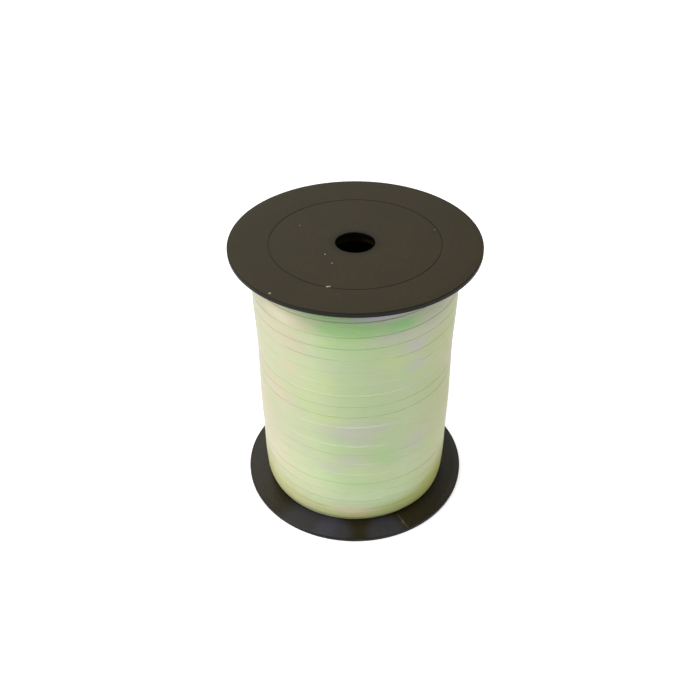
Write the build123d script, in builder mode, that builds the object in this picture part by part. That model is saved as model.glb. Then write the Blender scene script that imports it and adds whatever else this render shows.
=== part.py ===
"""Spool of narrow curling ribbon, in millimetres.

The spool stands on its bottom flange: the origin is the centre of that flange's rim plane, and +Z
runs up the spindle axis. Two equal moulded flanges plug into the ends of a hollow core tube, and one
long ribbon is wound on the tube between them.
"""

import os
from math import degrees

from build123d import *

os.makedirs("parts", exist_ok=True)

# Overall size
SPOOL_HEIGHT = 117.0
FLANGE_RADIUS = 48.0

# Flange plate: a flat land round the rim, then a shallow dish towards the spindle hole
PLATE_THICKNESS = 2.0
RIM_ROUNDING = 0.5
RIM_LAND_WIDTH = 2.5
RING_DISH_DEPTH = 0.8
HUB_DISH_DEPTH = 1.3
SPINDLE_HOLE_RADIUS = 7.5
HOLE_EDGE_ROUNDING = 0.3

# Witness groove in the outer face, over the core tube's wall
WITNESS_RADIUS = 32.6
WITNESS_WIDTH = 0.3
WITNESS_DEPTH = 0.12

# Core tube and the seat that its end stands in
CORE_OUTER_RADIUS = 32.5
CORE_WALL = 1.5
CORE_INNER_RADIUS = CORE_OUTER_RADIUS - CORE_WALL
SEAT_DEPTH = 0.6
SEAT_CLEARANCE = 0.05

# Collar that plugs into the core tube, with small crush ribs that grip it
COLLAR_RADIUS = 30.7
COLLAR_WALL = 1.6
COLLAR_HEIGHT = 8.0
COLLAR_LEAD_IN = 0.6
CRUSH_RIB_COUNT = 12
CRUSH_RIB_RADIUS = 0.6
CRUSH_RIB_CLEARANCE = 0.02

# Stiffening inside the collar
HUB_RING_RADIUS = 10.6
HUB_RING_WALL = 1.2
STIFFENER_COUNT = 6
STIFFENER_WIDTH = 1.2
STIFFENER_HEIGHT = 3.0

# Ribbon and tape
WINDING_CLEARANCE = 0.05
WINDING_FOOT_RADIUS = 37.8
WINDING_RADIUS = 39.8
TAPE_THICKNESS = 0.08
TAPE_GAP = 0.03
START_TAPE_LENGTH = 20.0
START_TAPE_WIDTH = 12.0
START_TAPE_HEIGHT = 24.0
START_TAPE_BEARING = -90.0
END_TAPE_LENGTH = 19.0
END_TAPE_WIDTH = 11.0
END_TAPE_HEIGHT = 57.0
END_TAPE_BEARING = 90.0

LAND_RADIUS = FLANGE_RADIUS - RIM_LAND_WIDTH
RING_INNER_FACE = PLATE_THICKNESS + RING_DISH_DEPTH
HUB_INNER_FACE = PLATE_THICKNESS + HUB_DISH_DEPTH
SEAT_FLOOR = RING_INNER_FACE - SEAT_DEPTH

# The wound ribbon's side, as (radius, height) from the foot on the bottom flange to the top one.
# The crossing laps leave it faintly wavy, and the end laps drop a little at each flange.
WINDING_SIDE = (
    (38.95, 4.6),
    (39.5, 8.5),
    (39.75, 15.0),
    (39.8, 30.0),
    (40.0, 41.5),
    (39.75, 58.5),
    (39.6, 76.0),
    (40.1, 93.5),
    (39.9, 104.0),
    (39.5, 109.0),
    (38.95, 112.4),
)


def inner_face_height(radius):
    """Height of the bottom flange's inner face over the dished ring outside the core tube."""
    share = (LAND_RADIUS - radius) / (LAND_RADIUS - WITNESS_RADIUS)
    return PLATE_THICKNESS + RING_DISH_DEPTH * share


def outer_face_height(radius):
    """Height of the bottom flange's outer face over the dished ring."""
    return inner_face_height(radius) - PLATE_THICKNESS


# Flange, as the bottom one stands --------------------------------------------------------------

with BuildPart() as bottom_flange:
    witness_inner = WITNESS_RADIUS - WITNESS_WIDTH / 2
    witness_outer = WITNESS_RADIUS + WITNESS_WIDTH / 2
    seat_inner = CORE_INNER_RADIUS - SEAT_CLEARANCE
    seat_outer = CORE_OUTER_RADIUS + SEAT_CLEARANCE
    with BuildSketch(Plane.XZ) as plate_profile:
        with BuildLine():
            Polyline(
                (SPINDLE_HOLE_RADIUS, HUB_DISH_DEPTH),
                (witness_inner, RING_DISH_DEPTH),
                (witness_inner, RING_DISH_DEPTH + WITNESS_DEPTH),
                (witness_outer, RING_DISH_DEPTH + WITNESS_DEPTH),
                (witness_outer, outer_face_height(witness_outer)),
                (LAND_RADIUS, 0),
                (FLANGE_RADIUS, 0),
                (FLANGE_RADIUS, PLATE_THICKNESS),
                (LAND_RADIUS, PLATE_THICKNESS),
                (seat_outer, inner_face_height(seat_outer)),
                (seat_outer, SEAT_FLOOR),
                (seat_inner, SEAT_FLOOR),
                (seat_inner, RING_INNER_FACE),
                (SPINDLE_HOLE_RADIUS, HUB_INNER_FACE),
                close=True,
            )
        make_face()
        rim_corners = plate_profile.vertices().group_by(Axis.X)[-1]
        fillet(rim_corners, RIM_ROUNDING)
        hole_corner = plate_profile.vertices().group_by(Axis.X)[0].sort_by(Axis.Y)[0]
        fillet(hole_corner, HOLE_EDGE_ROUNDING)
    revolve(axis=Axis.Z)

    # Collar with a chamfered lead-in, and crush ribs up to the chamfer
    with BuildSketch(Plane.XY.offset(SEAT_FLOOR)):
        Circle(COLLAR_RADIUS)
        Circle(COLLAR_RADIUS - COLLAR_WALL, mode=Mode.SUBTRACT)
    collar_length = RING_INNER_FACE + COLLAR_HEIGHT - SEAT_FLOOR
    extrude(amount=collar_length)
    collar_rim = bottom_flange.faces().sort_by(Axis.Z)[-1].outer_wire().edges()
    chamfer(collar_rim, COLLAR_LEAD_IN)
    with BuildSketch(Plane.XY.offset(SEAT_FLOOR)):
        crush_rib_centre = CORE_INNER_RADIUS - CRUSH_RIB_CLEARANCE - CRUSH_RIB_RADIUS
        with PolarLocations(crush_rib_centre, CRUSH_RIB_COUNT):
            Circle(CRUSH_RIB_RADIUS)
    extrude(amount=collar_length - 2 * COLLAR_LEAD_IN)

    # Ring round the hole, set back from its edge, and ribs from it to the collar
    with BuildSketch(Plane.XY.offset(PLATE_THICKNESS)):
        Circle(HUB_RING_RADIUS)
        stiffener_reach = COLLAR_RADIUS - COLLAR_WALL / 2
        stiffener_length = stiffener_reach - HUB_RING_RADIUS + HUB_RING_WALL / 2
        stiffener_middle = stiffener_reach - stiffener_length / 2
        with PolarLocations(stiffener_middle, STIFFENER_COUNT):
            Rectangle(stiffener_length, STIFFENER_WIDTH)
        Circle(HUB_RING_RADIUS - HUB_RING_WALL, mode=Mode.SUBTRACT)
    extrude(amount=HUB_DISH_DEPTH + STIFFENER_HEIGHT)

bottom_flange.part.label = "bottom_flange"
export_step(bottom_flange.part, "parts/bottom_flange.step")

# The top flange is the same moulding, turned over ------------------------------------------------

with BuildPart() as top_flange:
    with Locations(Location((0, 0, SPOOL_HEIGHT), (180, 0, 0))):
        add(bottom_flange.part)

top_flange.part.label = "top_flange"
export_step(top_flange.part, "parts/top_flange.step")

# Core tube -------------------------------------------------------------------------------------

with BuildPart() as core_tube:
    with BuildSketch(Plane.XY.offset(SEAT_FLOOR)):
        Circle(CORE_OUTER_RADIUS)
        Circle(CORE_INNER_RADIUS, mode=Mode.SUBTRACT)
    extrude(amount=SPOOL_HEIGHT - 2 * SEAT_FLOOR)

core_tube.part.label = "core_tube"
export_step(core_tube.part, "parts/core_tube.step")

# Start tape: a strip round part of the core tube that holds the ribbon's first end ---------------


def patch_angle(length, radius):
    """The angle in degrees that a curved patch of this length takes at this radius."""
    return degrees(length / radius)


def patch_plane(middle, angle):
    """The upright plane that a patch's sweep starts from, for a middle at this bearing."""
    return Plane.XZ.rotated((0, 0, middle - angle / 2))


tape_angle = patch_angle(START_TAPE_LENGTH, CORE_OUTER_RADIUS)
with BuildPart() as start_tape:
    with BuildSketch(patch_plane(START_TAPE_BEARING, tape_angle)):
        with Locations((CORE_OUTER_RADIUS + TAPE_GAP + TAPE_THICKNESS / 2, START_TAPE_HEIGHT)):
            Rectangle(TAPE_THICKNESS, START_TAPE_WIDTH)
    revolve(axis=Axis.Z, revolution_arc=tape_angle)

start_tape.part.label = "start_tape"
export_step(start_tape.part, "parts/start_tape.step")

# Ribbon winding, as one closed ring --------------------------------------------------------------

with BuildPart() as ribbon_winding:
    bore_radius = CORE_OUTER_RADIUS + WINDING_CLEARANCE
    foot_height = inner_face_height(WINDING_FOOT_RADIUS) + WINDING_CLEARANCE
    bore_foot = inner_face_height(bore_radius) + WINDING_CLEARANCE
    with BuildSketch(Plane.XZ):
        with BuildLine():
            side = Spline(
                (WINDING_FOOT_RADIUS, foot_height),
                *WINDING_SIDE,
                (WINDING_FOOT_RADIUS, SPOOL_HEIGHT - foot_height),
            )
            Polyline(
                side @ 1,
                (bore_radius, SPOOL_HEIGHT - bore_foot),
                (bore_radius, bore_foot),
                side @ 0,
            )
        make_face()
    revolve(axis=Axis.Z)
    # Pocket over the start tape
    pocket_angle = patch_angle(START_TAPE_LENGTH + 2 * TAPE_GAP, CORE_OUTER_RADIUS)
    pocket_depth = TAPE_THICKNESS + 2 * TAPE_GAP
    with BuildSketch(patch_plane(START_TAPE_BEARING, pocket_angle)):
        with Locations((CORE_OUTER_RADIUS + pocket_depth / 2, START_TAPE_HEIGHT)):
            Rectangle(pocket_depth, START_TAPE_WIDTH + 2 * TAPE_GAP)
    revolve(axis=Axis.Z, revolution_arc=pocket_angle, mode=Mode.SUBTRACT)

ribbon_winding.part.label = "ribbon_winding"
export_step(ribbon_winding.part, "parts/ribbon_winding.step")

# End tape: a clear tab on the winding's far side that holds the ribbon's last end -----------------

end_angle = patch_angle(END_TAPE_LENGTH, WINDING_RADIUS)
with BuildPart() as end_tape:
    with BuildSketch(patch_plane(END_TAPE_BEARING, end_angle)):
        with BuildLine():
            under = Spline(*[(radius + TAPE_GAP, height) for radius, height in WINDING_SIDE])
            over = Spline(
                *[(radius + TAPE_GAP + TAPE_THICKNESS, height) for radius, height in WINDING_SIDE]
            )
            Line(under @ 0, over @ 0)
            Line(under @ 1, over @ 1)
        make_face()
    revolve(axis=Axis.Z, revolution_arc=end_angle)
    with Locations((0, 0, END_TAPE_HEIGHT)):
        Box(4 * FLANGE_RADIUS, 4 * FLANGE_RADIUS, END_TAPE_WIDTH, mode=Mode.INTERSECT)

end_tape.part.label = "end_tape"
export_step(end_tape.part, "parts/end_tape.step")
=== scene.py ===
"""The looks of the ribbon spool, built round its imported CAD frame.

The ribbon is wound here lap by lap. Its centre line runs up and down the core, each lap is laid on
a map of the radius that the laps under it have left, and the laps that show become real strips
with thickness and cut edges. Bearings are degrees round the spindle axis from -Y towards +X.
"""

import math

import bpy
import numpy as np
from mathutils import Matrix, Vector


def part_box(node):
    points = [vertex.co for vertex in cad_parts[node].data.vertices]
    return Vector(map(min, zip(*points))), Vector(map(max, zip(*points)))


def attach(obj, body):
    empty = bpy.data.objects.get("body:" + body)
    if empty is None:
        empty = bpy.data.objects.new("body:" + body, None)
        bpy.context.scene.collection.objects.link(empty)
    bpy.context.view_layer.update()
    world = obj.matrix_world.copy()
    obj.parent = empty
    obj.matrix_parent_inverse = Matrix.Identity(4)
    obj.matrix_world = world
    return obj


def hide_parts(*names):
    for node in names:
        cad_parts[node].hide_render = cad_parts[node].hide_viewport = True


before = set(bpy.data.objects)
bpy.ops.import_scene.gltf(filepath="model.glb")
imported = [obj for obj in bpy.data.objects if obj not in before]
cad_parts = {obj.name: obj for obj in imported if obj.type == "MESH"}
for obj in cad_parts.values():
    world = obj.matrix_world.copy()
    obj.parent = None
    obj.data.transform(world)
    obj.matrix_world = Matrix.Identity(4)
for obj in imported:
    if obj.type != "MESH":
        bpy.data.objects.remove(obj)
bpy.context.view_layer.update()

MM = 0.001
SEED = 7

_, top_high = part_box("top_flange")
winding_low, winding_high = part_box("ribbon_winding")
tape_low, tape_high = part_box("end_tape")
_, core_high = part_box("core_tube")

SPOOL_RADIUS = top_high.x
SPOOL_HEIGHT = top_high.z
CORE_RADIUS = core_high.x


# ---------------------------------------------------------------- camera, floor and light

CAMERA_POSITION = Vector((0.0, -5.586, 5.728)) * SPOOL_RADIUS
CAMERA_TARGET = Vector((-0.0428, 0.0, 1.3348)) * SPOOL_RADIUS
CAMERA_LENS = 42.29
CAMERA_ROLL = math.radians(-0.15)
WORLD_STRENGTH = 0.66
HORIZON_GREY = 0.30
ZENITH_GREY = 0.80
FLOOR_HALF_WIDTH = 4.0
FLOOR_GLOW = 0.55


def add_camera():
    data = bpy.data.cameras.new("camera")
    data.lens = CAMERA_LENS
    data.sensor_width = 36.0
    data.clip_start = 0.01
    data.clip_end = 50.0
    camera = bpy.data.objects.new("camera", data)
    bpy.context.scene.collection.objects.link(camera)
    aim = (CAMERA_TARGET - CAMERA_POSITION).to_track_quat("-Z", "Y").to_matrix().to_4x4()
    camera.matrix_world = (
        Matrix.Translation(CAMERA_POSITION) @ aim @ Matrix.Rotation(CAMERA_ROLL, 4, "Z")
    )
    bpy.context.scene.camera = camera


def node_of(tree, kind, **values):
    """A new shader node, with its properties and its unlinked inputs set by name."""
    node = tree.nodes.new(kind)
    for name, value in values.items():
        if hasattr(node, name):
            setattr(node, name, value)
        else:
            node.inputs[name.replace("_", " ")].default_value = value
    return node


def add_area_light(name, position, target, size, power, colour):
    data = bpy.data.lights.new(name, "AREA")
    data.shape = "DISK"
    data.size = size
    data.energy = power
    data.color = colour
    light = bpy.data.objects.new(name, data)
    bpy.context.scene.collection.objects.link(light)
    direction = Vector(target) - Vector(position)
    light.location = position
    light.rotation_mode = "QUATERNION"
    light.rotation_quaternion = direction.to_track_quat("-Z", "Y")


def add_world():
    """Soft light from all round, brighter overhead than at the horizon."""
    world = bpy.data.worlds.new("studio")
    world.use_nodes = True
    tree = world.node_tree
    background = tree.nodes["Background"]
    coordinates = node_of(tree, "ShaderNodeTexCoord")
    split = node_of(tree, "ShaderNodeSeparateXYZ")
    ramp = node_of(tree, "ShaderNodeValToRGB")
    ramp.color_ramp.elements[0].position = 0.0
    ramp.color_ramp.elements[0].color = (HORIZON_GREY, HORIZON_GREY, HORIZON_GREY, 1)
    ramp.color_ramp.elements[1].position = 0.9
    ramp.color_ramp.elements[1].color = (ZENITH_GREY, ZENITH_GREY, ZENITH_GREY, 1)
    tree.links.new(coordinates.outputs["Generated"], split.inputs[0])
    tree.links.new(split.outputs["Z"], ramp.inputs["Fac"])
    tree.links.new(ramp.outputs["Color"], background.inputs["Color"])
    background.inputs["Strength"].default_value = WORLD_STRENGTH
    bpy.context.scene.world = world


def add_floor():
    half = FLOOR_HALF_WIDTH
    mesh = bpy.data.meshes.new("floor")
    corners = [(-half, -half, 0), (half, -half, 0), (half, half, 0), (-half, half, 0)]
    mesh.from_pydata(corners, [], [(0, 1, 2, 3)])
    floor = bpy.data.objects.new("floor", mesh)
    bpy.context.scene.collection.objects.link(floor)
    material = bpy.data.materials.new("pale_floor")
    material.use_nodes = True
    shader = material.node_tree.nodes["Principled BSDF"]
    shader.inputs["Base Color"].default_value = (0.9, 0.9, 0.9, 1)
    shader.inputs["Roughness"].default_value = 0.9
    shader.inputs["Specular IOR Level"].default_value = 0.1
    shader.inputs["Emission Color"].default_value = (1, 1, 1, 1)
    shader.inputs["Emission Strength"].default_value = FLOOR_GLOW
    mesh.materials.append(material)


def set_stage():
    bpy.context.scene.view_settings.view_transform = "Standard"
    add_camera()
    add_world()
    add_floor()
    middle = (0, 0, SPOOL_HEIGHT / 2)
    add_area_light("key", (-0.75, -0.35, 0.75), middle, 0.7, 6.0, (1.0, 0.98, 0.95))
    add_area_light("fill", (0.7, -0.6, 0.6), middle, 0.9, 1.5, (1.0, 0.99, 0.97))
    add_area_light("back", (-0.2, 0.8, 0.8), middle, 0.8, 2.0, (1.0, 1.0, 1.0))


# ---------------------------------------------------------------- winding the ribbon

# Sizes in mm. The film is thinner here than real film, so that the joints between laps stay faint.
RIBBON_WIDTH = 5.3
FILM_THICKNESS = 0.018
SEGMENTS_PER_TURN = 240
STRIP_POINTS = 15

# The cut edges reach this many film thicknesses down, and the inner body starts this many down.
EDGE_REACH = 1.7
INNER_BODY_DROP = 0.45

# How far over and under the laps' surface the end tab's two faces lie, in mm.
TAB_OVER = 0.07
TAB_UNDER = 0.02

# The ribbon's centre line as (turn, height in mm). A whole turn is in front, and the bearing falls
# as turns grow. The ribbon climbs in close laps from turn -20.6, turns back under the top flange at
# turn 0, and comes down to its end at the back.
RIBBON_PATH = (
    (-20.6, 5.6),
    (-20.3, 5.3),
    (-20.0, 7.9),
    (-19.0, 13.05),
    (-18.0, 18.15),
    (-17.0, 23.25),
    (-16.0, 28.65),
    (-15.0, 34.05),
    (-14.0, 39.95),
    (-13.0, 44.95),
    (-12.0, 50.05),
    (-11.0, 54.65),
    (-10.0, 59.15),
    (-1.0, 104.5),
    (-0.5, 107.6),
    (-0.2, 109.2),
    (0.0, 109.1),
    (1.0, 104.45),
    (2.0, 98.25),
    (3.0, 92.85),
    (4.0, 87.05),
    (5.0, 81.25),
    (6.0, 75.55),
    (7.0, 70.35),
    (8.0, 65.15),
    (9.0, 59.95),
    (9.5, 57.2),
)
HIDDEN_TURNS = (-9.5, -0.5)

# Painted light on the lower cut edge of a lap, as (turn, look): 1 is a painted glint and -1 a painted
# shadow.
EDGE_PAINTED_LIGHT = (
    (-20.0, -0.2),
    (-19.0, -0.5),
    (-18.5, 0.1),
    (-18.0, 0.4),
    (-17.0, 0.8),
    (-16.0, 0.5),
    (-15.0, 1.0),
    (-14.0, 0.6),
    (-13.5, 0.2),
    (-13.04, 0.3),
    (-12.96, -0.4),
    (-12.86, 0.0),
    (-12.0, 0.9),
    (-11.0, 0.3),
    (-0.3, -0.5),
    (-0.1, -1.0),
    (0.12, -1.0),
    (0.3, -0.3),
    (0.75, -0.2),
    (0.85, -0.7),
    (0.99, -0.6),
    (1.06, -0.1),
    (1.94, -0.1),
    (1.99, -0.6),
    (2.1, -0.5),
    (2.16, 0.0),
    (3.0, -0.1),
    (3.03, -0.7),
    (3.1, -0.6),
    (3.14, 0.0),
    (4.5, 0.1),
    (5.0, 0.7),
    (6.0, 1.0),
    (7.0, 0.15),
    (8.0, 0.15),
    (9.0, 0.9),
    (9.5, 0.5),
)


def ribbon_height(turns):
    """Height in mm of the ribbon's centre line, as a smooth curve through RIBBON_PATH."""
    knots, heights = np.array(RIBBON_PATH).T
    slopes = np.gradient(heights, knots)
    index = np.clip(np.searchsorted(knots, turns, side="right") - 1, 0, len(knots) - 2)
    span = knots[index + 1] - knots[index]
    t = (turns - knots[index]) / span
    rise = heights[index] * (2 * t**3 - 3 * t**2 + 1) + heights[index + 1] * (3 * t**2 - 2 * t**3)
    bend = slopes[index] * (t**3 - 2 * t**2 + t) + slopes[index + 1] * (t**3 - t**2)
    wander = 0.10 * np.sin(2.3 * turns + 0.7) + 0.06 * np.sin(5.9 * turns + 2.1)
    return rise + span * bend + wander


def painted_edge_light(turns):
    """Painted light on the lower cut edge: painted glints show mainly a little left of the front,
    painted shadows all round.
    """
    look = np.interp(turns, *np.array(EDGE_PAINTED_LIGHT).T)
    glint = 0.12 + 0.88 * np.clip(np.cos(2 * math.pi * turns - 0.2), 0, 1) ** 5
    ripple = 0.75 + 0.25 * np.sin(31 * turns) * np.sin(12.7 * turns + 1)
    return np.where(look > 0, look * glint, look) * ripple


def side_profile():
    """(heights, radii) in mm of the CAD winding's side, read from its mesh."""
    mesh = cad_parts["ribbon_winding"].data
    points = np.array([v.co for v in mesh.vertices]) / MM
    radii = np.hypot(points[:, 0], points[:, 1])
    outer = radii > CORE_RADIUS / MM + 5
    heights, first = np.unique(np.round(points[outer, 2], 3), return_index=True)
    return heights, radii[outer][first]


def smoothed(rows, passes):
    """Rows averaged with their neighbours along the second axis, again and again."""
    for _ in range(passes):
        near = np.pad(rows, ((0, 0), (1, 1)), mode="edge")
        rows = (near[:, :-2] + near[:, 1:-1] + near[:, 2:]) / 3
    return rows


def spread(rows, passes):
    """Rows raised to their highest neighbours along the second axis, again and again."""
    for _ in range(passes):
        near = np.pad(rows, ((0, 0), (1, 1)), mode="edge")
        rows = np.maximum(np.maximum(near[:, :-2], near[:, 1:-1]), near[:, 2:])
    return rows


class Winding:
    """A map of the winding's radius by bearing and height, in mm, which grows as ribbon is laid."""

    step = 0.1

    def __init__(self):
        self.low = winding_low.z / MM
        high = winding_high.z / MM
        self.heights = np.arange(self.low, high + self.step, self.step)
        side = np.interp(self.heights, *side_profile()) - 2 * FILM_THICKNESS
        self.radius = np.tile(side, (SEGMENTS_PER_TURN, 1))

    def radius_at(self, columns, heights):
        """Radius at a row of heights for each column of the map."""
        position = np.clip((heights - self.low) / self.step, 0, len(self.heights) - 1.001)
        cell = position.astype(int)
        share = position - cell
        rows = columns[:, None]
        return self.radius[rows, cell] * (1 - share) + self.radius[rows, cell + 1] * share

    def lay(self, turns):
        """Lays up to one turn of ribbon. Returns the heights and top radii of its points."""
        columns = np.round(-turns * SEGMENTS_PER_TURN).astype(int) % SEGMENTS_PER_TURN
        centre = ribbon_height(turns)[:, None]
        heights = centre + np.linspace(-0.5, 0.5, STRIP_POINTS)[None, :] * RIBBON_WIDTH
        below = self.radius_at(columns, heights)
        top = np.maximum(smoothed(spread(below, 2), 6), below) + FILM_THICKNESS
        for row, column in enumerate(columns):
            covered = np.abs(self.heights - centre[row]) <= RIBBON_WIDTH / 2
            new = np.interp(self.heights[covered], heights[row], top[row])
            self.radius[column, covered] = np.maximum(self.radius[column, covered], new)
        return heights, top


def wind_ribbon():
    """Winds the whole path. Returns the winding and the ribbon's turns, heights and top radii."""
    winding = Winding()
    first, last = RIBBON_PATH[0][0], RIBBON_PATH[-1][0]
    steps = int(round((last - first) * SEGMENTS_PER_TURN))
    turns = last - np.arange(steps, -1, -1) / SEGMENTS_PER_TURN
    laid = []
    for start in range(0, len(turns), SEGMENTS_PER_TURN):
        lap = turns[start : start + SEGMENTS_PER_TURN]
        heights, top = winding.lay(lap)
        laid.append((lap, heights, top))
    return winding, [np.concatenate(columns) for columns in zip(*laid)]


# ---------------------------------------------------------------- colours of the pearl film


def linear(*srgb):
    """Linear light from a colour in sRGB, given as 0 to 255."""
    values = np.array(srgb) / 255
    return np.where(values <= 0.04045, values / 12.92, ((values + 0.055) / 1.055) ** 2.4)


# The film turns from cream through green to tan round the spool: (bearing in degrees, colour).
ROUND_COLOURS = (
    (-180, (198, 212, 172)),
    (-120, (206, 200, 176)),
    (-68, (202, 200, 161)),
    (-45, (211, 216, 176)),
    (-22, (206, 221, 176)),
    (-8, (190, 212, 162)),
    (8, (186, 208, 158)),
    (30, (192, 209, 162)),
    (55, (187, 194, 134)),
    (75, (180, 179, 108)),
    (125, (192, 204, 156)),
    (180, (198, 212, 172)),
)

FILM_DEPTH = np.array([0.775, 0.795, 0.72])

MINT = (104, 214, 92)
GREEN = (150, 214, 118)
LILAC = (200, 190, 198)
PINK = (232, 204, 182)
LEMON = (206, 222, 140)
OLIVE = (190, 194, 104)
STRAW = (238, 236, 180)
PAINTED_LIGHT_CREAM = (255, 240, 216)
PALE = (208, 222, 186)
BLUSH = (236, 222, 192)
VIOLET = (208, 200, 220)
PAINTED_SHADE_MOSS = (146, 148, 84)

# Patches of pearl colour: bearing, height, half width in degrees, half height in mm, colour, share.
PEARL_PATCHES = (
    (-14, 104.0, 14, 2.8, MINT, 0.45),
    (24, 104.0, 9, 3.0, MINT, 0.60),
    (4, 103.5, 13, 2.8, GREEN, 0.8),
    (-8, 98.0, 12, 4.5, GREEN, 0.35),
    (2, 92.0, 10, 7.0, GREEN, 0.15),
    (14, 109.6, 26, 2.6, VIOLET, 1.0),
    (-14, 108.6, 16, 2.2, GREEN, 0.7),
    (50, 108.5, 14, 2.5, VIOLET, 0.25),
    (22, 99.0, 12, 3.0, LILAC, 0.5),
    (33, 92.5, 8, 3.6, LILAC, 0.7),
    (36, 83.5, 7, 3.2, LILAC, 0.55),
    (45, 98.0, 12, 4.0, LILAC, 0.35),
    (50, 104.0, 12, 2.6, LILAC, 0.35),
    # Painted light: this cream patch lightens the left side under the top flange, where the key light
    # reaches in.
    (-42, 103.5, 13, 3.2, PAINTED_LIGHT_CREAM, 0.8),
    (-35, 93.0, 9, 5.0, PINK, 0.45),
    (-26, 103.5, 8, 3.0, PINK, 0.35),
    (-50, 97.0, 12, 4.0, PINK, 0.3),
    (-38, 80.5, 7, 4.0, PINK, 0.45),
    (-50, 65.0, 13, 5.0, PINK, 0.45),
    (-66, 50.0, 10, 9.0, PINK, 0.35),
    (-16, 78.0, 7, 4.5, LEMON, 0.3),
    (-13, 60.0, 7, 5.0, LEMON, 0.45),
    (-26, 68.0, 8, 9.0, LEMON, 0.25),
    (22, 88.0, 8, 4.0, LEMON, 0.35),
    (-4, 55.0, 15, 4.5, LILAC, 0.6),
    (5, 50.0, 9, 3.0, LILAC, 0.4),
    (14, 57.0, 8, 3.0, LILAC, 0.35),
    (-2, 39.5, 8, 3.0, LILAC, 0.5),
    (-14, 34.5, 8, 3.0, LILAC, 0.4),
    (38, 44.0, 9, 6.0, LILAC, 0.45),
    (18, 40.0, 8, 6.0, GREEN, 0.25),
    (-52, 36.0, 12, 6.0, PINK, 0.25),
    (-54, 26.0, 10, 5.0, PINK, 0.3),
    (6, 17.0, 26, 5.0, PALE, 0.6),
    (-4, 9.8, 20, 2.4, BLUSH, 0.7),
    (2, 6.6, 9, 2.2, PINK, 0.8),
    # Painted shade: these two dark moss patches darken the film low on both sides, near the bottom
    # flange.
    (-70, 13.0, 9, 9.0, PAINTED_SHADE_MOSS, 0.7),
    (70, 19.0, 7, 4.5, PAINTED_SHADE_MOSS, 0.5),
)


def bearing_gap(a, b):
    """Degrees between bearings, the short way round."""
    return (a - b + 180) % 360 - 180


def blend(base, colour, share):
    return base + (linear(*colour) - base) * share[:, None]


def soft_waves(bearings, heights, seed):
    """Slow waves round and up the spool, from about -1 to 1, that close on themselves."""
    random = np.random.default_rng(seed)
    total = np.zeros_like(bearings)
    for _ in range(7):
        cycles = random.integers(2, 9)
        pitch = random.uniform(12, 45)
        phase = random.uniform(0, 2 * math.pi)
        total += np.sin(np.radians(bearings * cycles) + 2 * math.pi * heights / pitch + phase)
    return total / 3.2


def film_colours(bearings, heights):
    """Linear colours of the film at points given by bearing in degrees and height in mm."""
    stops = [stop for stop, _ in ROUND_COLOURS]
    ramp = np.array([linear(*colour) for _, colour in ROUND_COLOURS])
    colours = np.stack([np.interp(bearings, stops, ramp[:, k]) for k in range(3)], axis=-1)
    behind = np.clip(np.abs(bearings) / 40 - 1.5, 0, 1)
    for colour, seed, share in ((LILAC, 3, 0.40), (GREEN, 4, 0.28), (PINK, 5, 0.35)):
        waves = np.clip(soft_waves(bearings, heights, SEED + seed), 0, 1)
        colours = blend(colours, colour, share * waves * (0.25 + 0.75 * behind))
    for bearing, height, width, rise, colour, share in PEARL_PATCHES:
        across = bearing_gap(bearings, bearing) / width
        up = (heights - height) / rise
        colours = blend(colours, colour, share * np.exp(-((across**2 + up**2) ** 1.4)))
    # The film is darkened by painted shade under the top flange. At the bottom it turns straw on the
    # left, olive on the right.
    shade = np.clip((heights - 98) / 11, 0, 1)
    colours *= (1 - 0.34 * shade)[:, None]
    ripple = 0.6 * soft_waves(bearings, heights, SEED)
    band = 8.6 + 6.3 * (1 - np.cos(np.radians(2 * bearings))) + ripple
    foot = np.clip((band - heights) / 3.6 + 0.5, 0, 1)
    right = 0.5 + 0.5 * np.sin(np.radians(bearings + 20))
    # Painted light: the film is made up to a tenth lighter towards the bottom, below about 42 mm.
    colours *= (1 + 0.10 * np.clip((42 - heights) / 14, 0, 1))[:, None]
    # The band at the bottom is partly the film's own yellow-green and partly painted shade, where the
    # film rolls away beside the bottom flange.
    colours = blend(colours, OLIVE, 0.8 * foot * right)
    colours = blend(colours, STRAW, 0.8 * foot * (1 - right))
    return np.clip(colours * FILM_DEPTH, 0, 1)


def paint_film(piece, edge=None):
    """Gives a film piece its pearl colours, and the painted glints and shadows of its cut edges."""
    points = np.empty(len(piece.data.vertices) * 3, np.float32)
    piece.data.vertices.foreach_get("co", points)
    x, y, z = points.reshape(-1, 3).T / MM
    colours = film_colours(np.degrees(np.arctan2(x, -y)), z)
    alpha = np.ones((len(colours), 1))
    pearl = piece.data.attributes.new("pearl", "FLOAT_COLOR", "POINT")
    pearl.data.foreach_set("color", np.hstack([colours, alpha]).astype(np.float32).ravel())
    if edge is not None:
        attribute = piece.data.attributes.new("edge", "FLOAT", "POINT")
        attribute.data.foreach_set("value", edge.astype(np.float32).ravel())


# ---------------------------------------------------------------- the ribbon's pieces


def to_points(bearings, heights, radii):
    """Points in metres from bearings in radians, and heights and radii in mm."""
    x = radii * np.sin(bearings)
    y = -radii * np.cos(bearings)
    return np.stack([x, y, heights + 0 * x], axis=-1) * MM


def mesh_object(name, points, faces, flat_faces=()):
    mesh = bpy.data.meshes.new(name)
    mesh.from_pydata(points.reshape(-1, 3).tolist(), [], [*faces, *flat_faces])
    smooth = [True] * len(faces) + [False] * len(flat_faces)
    mesh.polygons.foreach_set("use_smooth", smooth)
    mesh.update()
    piece = bpy.data.objects.new(name, mesh)
    bpy.context.scene.collection.objects.link(piece)
    return piece


def grid_faces(rows, columns, first=0, last=None, closed_rows=False):
    """Quads of a grid of points stored row by row, over the columns first to last."""
    faces = []
    for i in range(rows if closed_rows else rows - 1):
        a = i * columns
        b = (i + 1) % rows * columns
        for j in range(first, columns - 1 if last is None else last):
            k = (j + 1) % columns
            faces.append((a + j, a + k, b + k, b + j))
    return faces


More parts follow.
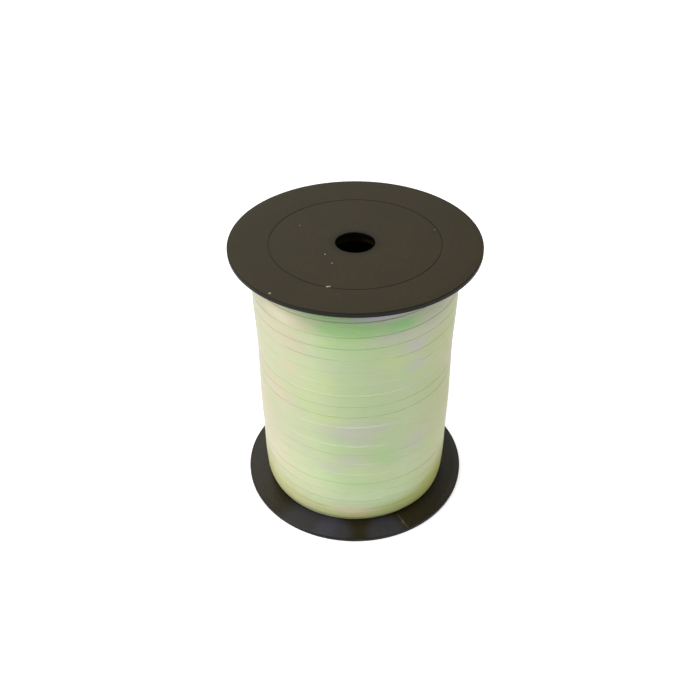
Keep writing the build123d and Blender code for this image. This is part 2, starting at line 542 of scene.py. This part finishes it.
def strip_object(name, turns, heights, top):
    """A strip of film with cut edges: its top points, then three points of its underside.

    The cut edges reach down into the laps under them, so that no dark crack is left there.
    """
    middle = STRIP_POINTS // 2
    under_heights = heights[:, [-1, middle, 0]]
    under_radii = top[:, [-1, middle, 0]] - FILM_THICKNESS * np.array([EDGE_REACH, 1.0, EDGE_REACH])
    all_heights = np.concatenate([heights, under_heights], axis=1)
    all_radii = np.concatenate([top, under_radii], axis=1)
    rows, columns = all_heights.shape
    points = to_points((-turns * 2 * math.pi)[:, None], all_heights, all_radii)
    upper = grid_faces(rows, columns, 0, STRIP_POINTS - 1)
    lower = grid_faces(rows, columns, STRIP_POINTS - 1, columns)
    ends = [tuple(range(columns)), tuple(reversed(range((rows - 1) * columns, rows * columns)))]
    piece = mesh_object(name, points, upper, [*lower, *ends])
    edge = np.zeros((rows, columns))
    # The lower cut edge gets its painted glint or painted shadow.
    edge[:, [0, 1, -1]] = painted_edge_light(turns)[:, None] * [1.0, 0.45, 1.0]
    paint_film(piece, edge)
    return piece


def ribbon_strips(turns, heights, top):
    """The laps that show: the close laps below the last ones, then the last ones."""
    hidden_from, hidden_to = HIDDEN_TURNS
    lower = turns <= hidden_from
    upper = turns >= hidden_to
    return [
        strip_object("ribbon_lower_laps", turns[lower], heights[lower], top[lower]),
        strip_object("ribbon_upper_laps", turns[upper], heights[upper], top[upper]),
    ]


def inner_laps(winding):
    """What lies under the shown laps, and the winding's flat ends: a turned body."""
    radii = winding.radius.mean(axis=0) - INNER_BODY_DROP * FILM_THICKNESS
    heights = winding.heights[2:-2:4]
    radii = np.concatenate([[CORE_RADIUS / MM + 0.1], radii[2:-2:4], [CORE_RADIUS / MM + 0.1]])
    heights = np.concatenate([heights[:1], heights, heights[-1:]])
    bearings = np.linspace(2 * math.pi, 0, SEGMENTS_PER_TURN, endpoint=False)[:, None]
    points = to_points(bearings, heights[None, :], np.tile(radii, (SEGMENTS_PER_TURN, 1)))
    faces = grid_faces(SEGMENTS_PER_TURN, len(heights), 0, len(heights), closed_rows=True)
    piece = mesh_object("ribbon_inner_laps", points, faces)
    paint_film(piece)
    return piece


def end_tab(winding):
    """The clear tab over the ribbon's last end, draped on the laps at the back."""
    half_angle = math.asin(tape_high.x / (abs(tape_high.y) + 0.1 * MM))
    bearings = math.pi + np.linspace(half_angle, -half_angle, 41)
    low, high = tape_low.z / MM, tape_high.z / MM
    heights = np.linspace(low, high, 45)
    columns = np.round(bearings / (2 * math.pi) * SEGMENTS_PER_TURN).astype(int)
    columns %= SEGMENTS_PER_TURN
    surface = winding.radius_at(columns, np.tile(heights, (len(bearings), 1)))
    surface = smoothed(spread(surface, 1), 2)
    surface = smoothed(surface.T, 2).T
    over = to_points(bearings[:, None], heights[None, :], surface + TAB_OVER)
    under = to_points(bearings[:, None], heights[None, :], surface + TAB_UNDER)
    rows, cols = surface.shape
    count = rows * cols
    upper = grid_faces(rows, cols)
    lower = [tuple(count + v for v in reversed(face)) for face in upper]
    rim = [*range(cols)]
    rim += [r * cols + cols - 1 for r in range(1, rows)]
    rim += [(rows - 1) * cols + c for c in reversed(range(cols - 1))]
    rim += [r * cols for r in reversed(range(1, rows - 1))]
    sides = [(b, count + b, count + a, a) for a, b in zip(rim, rim[1:] + rim[:1])]
    points = np.concatenate([over.reshape(-1, 3), under.reshape(-1, 3)])
    return mesh_object("end_tab", points, upper, [*lower, *sides])


# ---------------------------------------------------------------- materials


class Recipe:
    """A material under construction, with short calls for the nodes that it is made of."""

    def __init__(self, name):
        self.material = bpy.data.materials.new(name)
        self.material.use_nodes = True
        self.tree = self.material.node_tree
        self.shader = self.tree.nodes["Principled BSDF"]
        self.point = self.node("ShaderNodeTexCoord").outputs["Object"]

    def node(self, kind, inputs=None, **settings):
        node = self.tree.nodes.new(kind)
        for name, value in settings.items():
            setattr(node, name, value)
        for name, value in (inputs or {}).items():
            self.put(node.inputs[name], value)
        return node

    def put(self, socket, value):
        if isinstance(value, bpy.types.NodeSocket):
            self.tree.links.new(value, socket)
        else:
            socket.default_value = value

    def set(self, name, value):
        self.put(self.shader.inputs[name], value)

    def math(self, operation, a, b=0.0):
        return self.node("ShaderNodeMath", {0: a, 1: b}, operation=operation).outputs[0]

    def noise(self, per_mm, detail=3.0, stretch=(1, 1, 1), roughness=0.5):
        """Noise from 0 to 1 in the part's own space, with this many features to the mm."""
        scale = [per_mm / MM * s for s in stretch]
        moved = self.node("ShaderNodeVectorMath", {0: self.point, 1: scale}, operation="MULTIPLY")
        inputs = {"Vector": moved.outputs[0], "Scale": 1.0, "Detail": detail, "Roughness": roughness}
        return self.node("ShaderNodeTexNoise", inputs).outputs["Fac"]

    def fit(self, value, low, high, to_low=0.0, to_high=1.0):
        """A value moved from one range to another, eased, and kept inside it."""
        inputs = {
            "Value": value,
            "From Min": low,
            "From Max": high,
            "To Min": to_low,
            "To Max": to_high,
        }
        node = self.node("ShaderNodeMapRange", inputs, interpolation_type="SMOOTHSTEP")
        return node.outputs["Result"]

    def mix(self, share, a, b, blend_type="MIX"):
        node = self.node("ShaderNodeMix", data_type="RGBA", blend_type=blend_type)
        self.put(node.inputs["Factor"], share)
        self.put(node.inputs["A"], a)
        self.put(node.inputs["B"], b)
        return node.outputs["Result"]

    def near(self, x, y, radius):
        """1 round a place in plan given in mm, falling to 0 at this radius in mm."""
        place = (x * MM, y * MM, 0.0)
        gap = self.node("ShaderNodeVectorMath", {0: self.plan(), 1: place}, operation="DISTANCE")
        return self.fit(gap.outputs["Value"], radius * MM, 0.5 * radius * MM)

    def plan(self):
        """The point being shaded, moved down to height 0."""
        flat = {0: self.point, 1: (1.0, 1.0, 0.0)}
        return self.node("ShaderNodeVectorMath", flat, operation="MULTIPLY").outputs[0]

    def bump(self, height, distance_mm, strength=1.0):
        inputs = {"Height": height, "Distance": distance_mm * MM, "Strength": strength}
        self.set("Normal", self.node("ShaderNodeBump", inputs).outputs["Normal"])


def rgb(*srgb):
    return (*linear(*srgb), 1.0)


def pearl_film():
    """Pearl ribbon film: painted pearl colours, painted glints and painted shadows on cut edges, fine
    streaks.
    """
    recipe = Recipe("pearl_film")
    pearl = recipe.node("ShaderNodeAttribute", attribute_name="pearl").outputs["Color"]
    edge = recipe.node("ShaderNodeAttribute", attribute_name="edge").outputs["Fac"]
    # Painted glints lighten cut edges and painted shadows darken them.
    painted_glint = recipe.fit(edge, 0.0, 0.8, 0.0, 0.50)
    dark = recipe.fit(edge, -0.1, -0.9, 0.0, 0.75)
    colour = recipe.mix(painted_glint, pearl, rgb(246, 252, 232))
    colour = recipe.mix(dark, colour, rgb(84, 100, 66))
    streaks = recipe.noise(0.9, 4.0, (0.25, 0.25, 3.0))
    colour = recipe.mix(recipe.fit(streaks, 0.35, 0.7, 0.0, 0.08), colour, rgb(222, 224, 206))
    cloud = recipe.noise(0.16, 3.0, (1, 1, 2.2))
    colour = recipe.mix(recipe.fit(cloud, 0.45, 0.7, 0.0, 0.12), colour, rgb(188, 172, 176))
    recipe.set("Base Color", colour)
    recipe.set("Roughness", recipe.fit(streaks, 0.3, 0.7, 0.34, 0.46))
    recipe.set("Specular IOR Level", 0.45)
    recipe.set("Coat Weight", 0.12)
    recipe.set("Coat Roughness", 0.25)
    recipe.bump(recipe.noise(0.5, 2.0, (0.4, 0.4, 2.0)), 0.02, 0.35)
    return recipe.material


def plastic_base(name, dark, light):
    """Warm black plastic with fine grain; also returns its grain for roughness and bump."""
    recipe = Recipe(name)
    grain = recipe.noise(1.6, 4.0, roughness=0.65)
    blotch = recipe.noise(0.07, 3.0)
    colour = recipe.mix(recipe.fit(grain, 0.3, 0.75), rgb(*dark), rgb(*light))
    colour = recipe.mix(recipe.fit(blotch, 0.35, 0.7, 0.0, 0.22), colour, rgb(*dark))
    return recipe, colour, grain


# Pale specks on the top face, as x, y and radius in mm, and a scratch on the bottom one.
SPECKS = (
    (-11.1, -8.9, 0.38),
    (-8.4, -15.1, 0.36),
    (-8.9, -30.7, 0.56),
    (-9.7, -30.8, 0.56),
    (-29.1, -36.1, 0.58),
    (-21.5, 12.0, 0.26),
    (30.5, 8.5, 0.26),
)
SCRATCH = ((18.5, -35.3), (20.3, -38.2), (20.8, -39.4), (22.5, -41.8))
PLATE_MIDDLE = 1.65
GROOVE_RADIUS = 32.6


def flange_plastic(name, outside_up, dark, light):
    """Matt grained plastic outside, smoother between the flanges, with painted shade at the rim, in the
    groove and in the hole.
    """
    recipe, colour, grain = plastic_base(name, dark, light)
    height = recipe.node("ShaderNodeSeparateXYZ", {0: recipe.point}).outputs[2]
    length = recipe.node("ShaderNodeVectorMath", {0: recipe.plan()}, operation="LENGTH")
    radius = length.outputs["Value"]
    middle = SPOOL_HEIGHT - PLATE_MIDDLE * MM if outside_up else PLATE_MIDDLE * MM
    upper = recipe.fit(height, middle - 0.2 * MM, middle + 0.2 * MM)
    outside = upper if outside_up else recipe.math("SUBTRACT", 1.0, upper)

    dust = recipe.fit(recipe.noise(0.55, 2.0), 0.72, 0.80, 0.0, 0.10)
    colour = recipe.mix(dust, colour, rgb(150, 140, 115))
    # Painted shade darkens the moulded groove ring on the outer face.
    gap = recipe.math("ABSOLUTE", recipe.math("SUBTRACT", radius, GROOVE_RADIUS * MM))
    painted_groove_shade = recipe.math("MULTIPLY", recipe.fit(gap, 0.3 * MM, 0.1 * MM, 0.0, 0.6), outside)
    colour = recipe.mix(painted_groove_shade, colour, rgb(10, 9, 5))
    if outside_up:
        for x, y, size in SPECKS:
            speck = recipe.math("MULTIPLY", recipe.near(x, y, size), outside)
            colour = recipe.mix(speck, colour, rgb(172, 164, 140))
    else:
        colour = bottom_sheen_and_scratch(recipe, colour, upper)
    # Painted shade darkens the rim, whose upright face gets little light.
    rim = recipe.fit(radius, SPOOL_RADIUS - 0.40 * MM, SPOOL_RADIUS - 0.05 * MM, 0.0, 0.95)
    colour = recipe.mix(rim, colour, rgb(10, 10, 7))
    # Painted shade darkens the hole's wall below the plate's middle.
    below = recipe.fit(height, middle + 0.7 * MM, middle)
    painted_bore_shade = recipe.math("MULTIPLY", recipe.fit(radius, 11.0 * MM, 7.6 * MM), below)
    colour = recipe.mix(painted_bore_shade, colour, rgb(8, 7, 4))

    recipe.set("Base Color", colour)
    matt = recipe.fit(grain, 0.25, 0.8, 0.52, 0.66)
    smooth = recipe.fit(grain, 0.25, 0.8, 0.30, 0.38)
    recipe.set("Roughness", recipe.mix(outside, smooth, matt))
    recipe.set("Specular IOR Level", 0.26)
    recipe.bump(grain, 0.03, 0.5)
    return recipe.material


def bottom_sheen_and_scratch(recipe, colour, upper):
    """A painted bluish sheen, standing for the film's reflection, and a light scratch near the front of
    the bottom flange's upper face.
    """
    # Painted reflection: bluish patches where the glossy upper face mirrors the film above.
    for x, y, size in ((-20.0, -40.5, 16.0), (-9.0, -44.5, 10.0), (13.0, -43.5, 10.0)):
        painted_sheen = recipe.math("MULTIPLY", recipe.near(x, y, size), 0.24)
        colour = recipe.mix(recipe.math("MULTIPLY", painted_sheen, upper), colour, rgb(90, 90, 116))
    for start, end in zip(SCRATCH, SCRATCH[1:]):
        for share in np.linspace(0, 1, 6):
            x, y = [a + (b - a) * share for a, b in zip(start, end)]
            worn = recipe.math("MULTIPLY", recipe.near(x, y, 0.5), 0.22)
            colour = recipe.mix(recipe.math("MULTIPLY", worn, upper), colour, rgb(130, 120, 110))
    return colour


def clear_tape():
    """Mostly clear tape with a faint warm haze."""
    recipe = Recipe("clear_tape")
    haze = recipe.noise(0.25, 3.0)
    recipe.set("Base Color", recipe.mix(haze, rgb(236, 234, 222), rgb(250, 250, 244)))
    recipe.set("Alpha", recipe.fit(haze, 0.3, 0.7, 0.13, 0.19))
    recipe.set("Roughness", recipe.fit(recipe.noise(0.8), 0.3, 0.7, 0.10, 0.22))
    return recipe.material


def core_plastic():
    """Dull dark plastic of the core tube."""
    recipe, colour, grain = plastic_base("core_plastic", (40, 36, 28), (62, 56, 46))
    recipe.set("Base Color", colour)
    recipe.set("Roughness", recipe.fit(grain, 0.25, 0.8, 0.55, 0.75))
    recipe.bump(grain, 0.03, 0.4)
    return recipe.material


# ---------------------------------------------------------------- assembly


def dress(name, material):
    """Gives a CAD node its material."""
    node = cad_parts[name]
    node.data.materials.clear()
    node.data.materials.append(material)


set_stage()
winding, (turns, heights, top) = wind_ribbon()

film = pearl_film()
film_pieces = [*ribbon_strips(turns, heights, top), inner_laps(winding)]
for piece in film_pieces:
    piece.data.materials.append(film)
    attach(piece, "root")
    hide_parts("ribbon_winding")

tape = clear_tape()
tab = end_tab(winding)
tab.data.materials.append(tape)
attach(tab, "root")
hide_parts("end_tape")

top_plastic = flange_plastic("top_flange_plastic", True, (42, 35, 10), (64, 55, 27))
# The bottom flange is the same plastic as the top one; its darker colours are painted shade from the
# top flange and winding above it.
bottom_plastic_painted_shade = flange_plastic("bottom_flange_plastic_painted_shade", False, (30, 25, 11), (51, 45, 25))
dress("top_flange", top_plastic)
dress("bottom_flange", bottom_plastic_painted_shade)
dress("core_tube", core_plastic())
dress("start_tape", tape)
